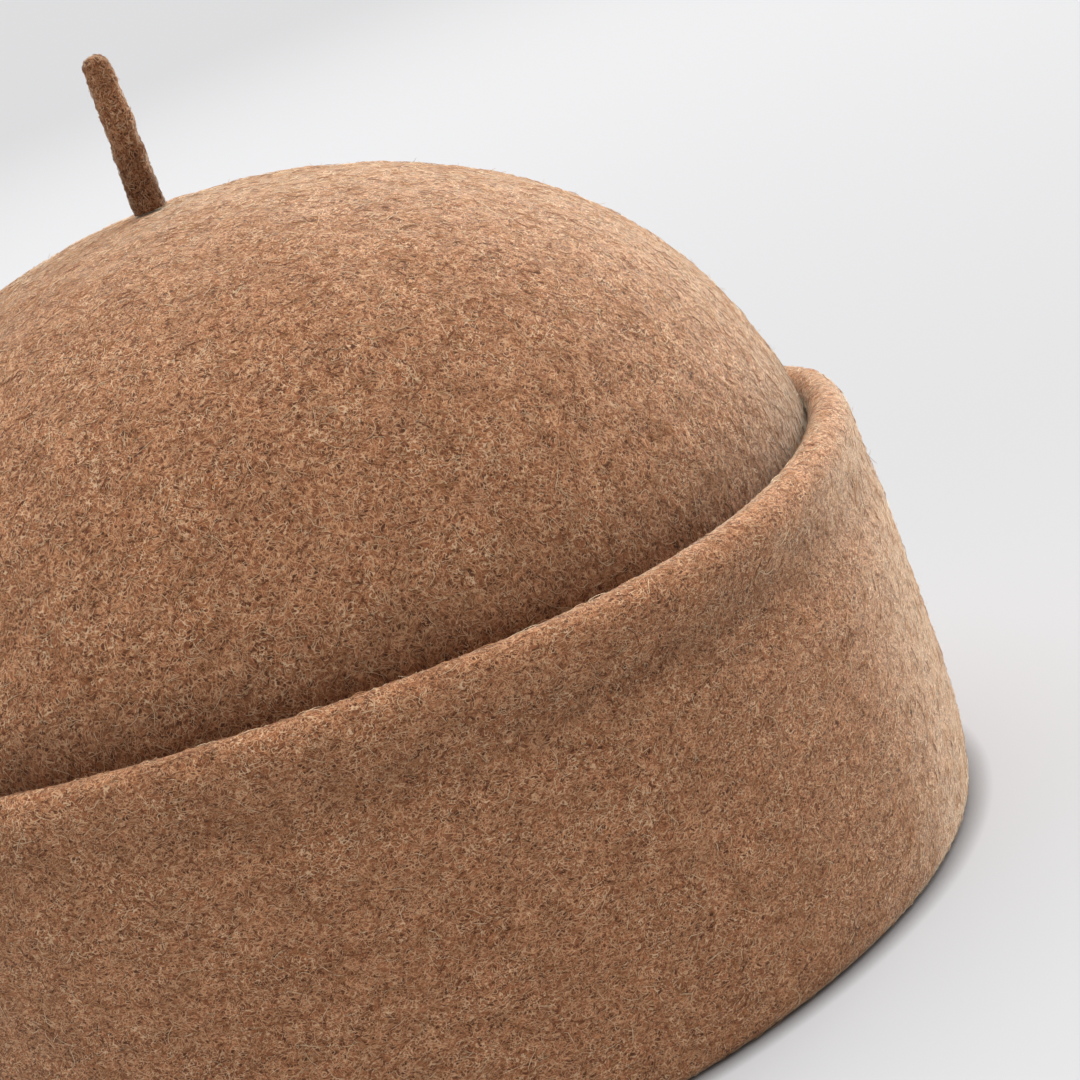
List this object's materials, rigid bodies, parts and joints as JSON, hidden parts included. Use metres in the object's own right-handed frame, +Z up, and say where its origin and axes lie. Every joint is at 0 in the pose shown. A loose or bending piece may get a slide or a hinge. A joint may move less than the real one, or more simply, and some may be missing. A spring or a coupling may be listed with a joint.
{
  "type": "felt hat with turned-up cuff",
  "caption": "Soft wool felt hat with a round crown, a tall turned-up cuff with a rolled edge, and a short stem on top.",
  "frame": {"origin": "middle of the foot fold's ring, on the surface that the hat stands on", "axes": "+Z up along the crown's axis; -Y to the front, where the picture is taken from; +X to the picture's right"},
  "size_m": [0.205, 0.2106, 0.1733],
  "materials": {
    "crown": "felted camel-brown wool, fuzzy and matt",
    "cuff": "felted camel-brown wool, fuzzy and matt",
    "stem": "darker brown felted wool, fuzzy and matt"
  },
  "bodies": {
    "root": {"crown": "crown", "cuff": "cuff", "stem": "stem"}
  },
  "joints": []
}
